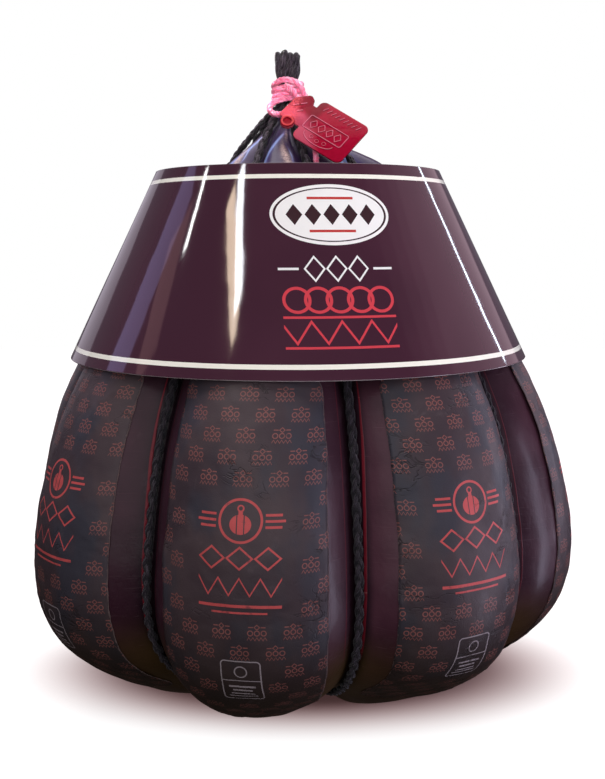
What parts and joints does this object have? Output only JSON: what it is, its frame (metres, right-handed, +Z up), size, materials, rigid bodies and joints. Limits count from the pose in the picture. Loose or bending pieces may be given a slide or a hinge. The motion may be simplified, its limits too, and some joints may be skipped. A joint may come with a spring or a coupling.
{
  "type": "provolone cheese",
  "caption": "Large melon-shaped provolone in dark wax, parted into lobes by sunken ropes, with paper strips, a conical card collar and a string-tied plastic seal.",
  "frame": {"origin": "middle of the footprint on the floor", "axes": "+Z up through the neck, -Y towards the front where the seal hangs"},
  "size_m": [0.406, 0.4056, 0.47],
  "materials": {
    "wax": "dark wax with a faint sheen",
    "label_paper": "thin printed paper, waxed on",
    "rope": "black plaited cord",
    "collar_card": "glossy laminated card",
    "string": "twisted pink string",
    "seal_plastic": "moulded, slightly translucent"
  },
  "bodies": {
    "root": {"cheese": "wax", "label_1": "label_paper", "label_2": "label_paper", "label_3": "label_paper", "label_4": "label_paper", "label_5": "label_paper", "label_6": "label_paper", "label_7": "label_paper", "label_8": "label_paper", "rope_1": "rope", "rope_2": "rope", "rope_3": "rope", "rope_4": "rope", "rope_crossing": "rope", "tie_string": "string", "collar": "collar_card", "seal": "seal_plastic"}
  },
  "joints": []
}
